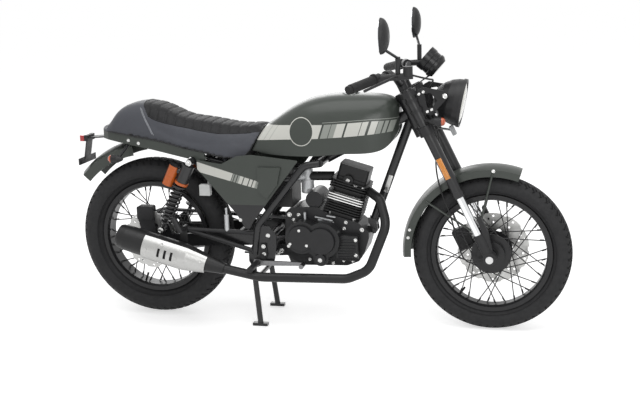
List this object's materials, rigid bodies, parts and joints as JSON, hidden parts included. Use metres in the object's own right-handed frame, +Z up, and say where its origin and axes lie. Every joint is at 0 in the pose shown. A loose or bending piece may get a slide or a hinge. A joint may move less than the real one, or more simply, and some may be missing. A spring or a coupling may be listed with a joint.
{
  "type": "motorcycle",
  "caption": "Cafe racer motorcycle with spoked wheels, single-cylinder engine, humped seat, upswept muffler, turning front end and fold-out stands.",
  "frame": {"origin": "floor level under the middle of the bounding box, motorcycle on its centre stand", "axes": "+X forward, +Y to the rider's left, +Z up"},
  "size_m": [1.97, 0.84, 1.208],
  "materials": {
    "black_metal": "satin",
    "black_plastic": "matte",
    "brake_alloy": "satin",
    "caliper": "satin",
    "carb_alloy": "satin",
    "chain": "satin",
    "chrome": "polished",
    "disc": "satin",
    "engine_black": "matte",
    "engine_cover": "satin",
    "exhaust_black": "satin",
    "frame_paint": "gloss",
    "gauge_case": "gloss",
    "green_paint": "satin",
    "grip_rubber": "matte",
    "hub": "satin",
    "lens_amber": "gloss",
    "lens_clear": "gloss",
    "lens_red": "gloss",
    "mirror": "polished",
    "rim": "satin",
    "seat_cover": "matte",
    "shield_alloy": "brushed",
    "shock_body": "gloss",
    "spokes": "satin",
    "spring": "gloss",
    "sprocket": "satin",
    "steel": "satin",
    "tyre": "matte"
  },
  "bodies": {
    "frame": {"air_box": "black_plastic", "carburettor": "carb_alloy", "crankcase": "engine_black", "cylinder_barrel": "engine_black", "cylinder_head": "engine_black", "drive_chain": "chain", "engine_covers": "engine_cover", "exhaust_pipe": "exhaust_black", "footrests": "black_metal", "fuel_cap": "chrome", "fuel_tank": "green_paint", "heat_shield": "shield_alloy", "main_frame": "frame_paint", "muffler": "exhaust_black", "pedals": "steel", "rear_axle": "steel", "rear_brake_cylinder": "brake_alloy", "rear_caliper": "caliper", "rear_fender": "green_paint", "rear_lenses": "lens_red", "seat": "seat_cover", "shock_bodies": "shock_body", "shock_springs": "spring", "side_covers": "green_paint", "subframe": "frame_paint", "swingarm": "frame_paint", "tail_band": "green_paint", "tail_bracket": "black_metal"},
    "steering": {"fork_tubes": "black_metal", "fork_stanchions": "chrome", "fork_sliders": "black_metal", "front_axle": "steel", "yokes": "black_metal", "handlebar": "black_metal", "grips": "grip_rubber", "hand_controls": "black_plastic", "headlight_bowl": "black_metal", "headlight_lens": "lens_clear", "headlight_bracket": "black_metal", "gauge": "gauge_case", "mirror_shells": "black_plastic", "mirror_glass": "mirror", "front_indicators": "black_plastic", "front_indicator_lenses": "lens_amber", "front_fender": "green_paint", "front_caliper": "caliper"},
    "front_wheel": {"front_tyre": "tyre", "front_rim": "rim", "front_spokes": "spokes", "front_hub": "hub", "front_disc": "disc"},
    "rear_wheel": {"rear_tyre": "tyre", "rear_rim": "rim", "rear_spokes": "spokes", "rear_hub": "hub", "rear_disc": "disc", "rear_sprocket": "sprocket"},
    "centre_stand": {"centre_stand": "frame_paint"},
    "side_stand": {"side_stand": "frame_paint"}
  },
  "joints": [
    {"name": "steering_turn", "type": "hinge", "parent": "frame", "child": "steering", "pos_m": [0.65085, 0, 0.28334], "axis": [-0.4384, 0, 0.8988], "range_deg": [-32, 32]},
    {"name": "front_wheel_spin", "type": "hinge", "parent": "steering", "child": "front_wheel", "pos_m": [0.685, 0, 0.3], "axis": [0, 1, 0], "continuous": true},
    {"name": "rear_wheel_spin", "type": "hinge", "parent": "frame", "child": "rear_wheel", "pos_m": [-0.665, 0, 0.326], "axis": [0, 1, 0], "continuous": true},
    {"name": "centre_stand_fold", "type": "hinge", "parent": "frame", "child": "centre_stand", "pos_m": [-0.235, 0, 0.262], "axis": [0, 1, 0], "range_deg": [0, 85]},
    {"name": "side_stand_swing", "type": "hinge", "parent": "frame", "child": "side_stand", "pos_m": [-0.125, 0.146, 0.222], "axis": [0, -0.891, -0.454], "range_deg": [0, 95]}
  ]
}
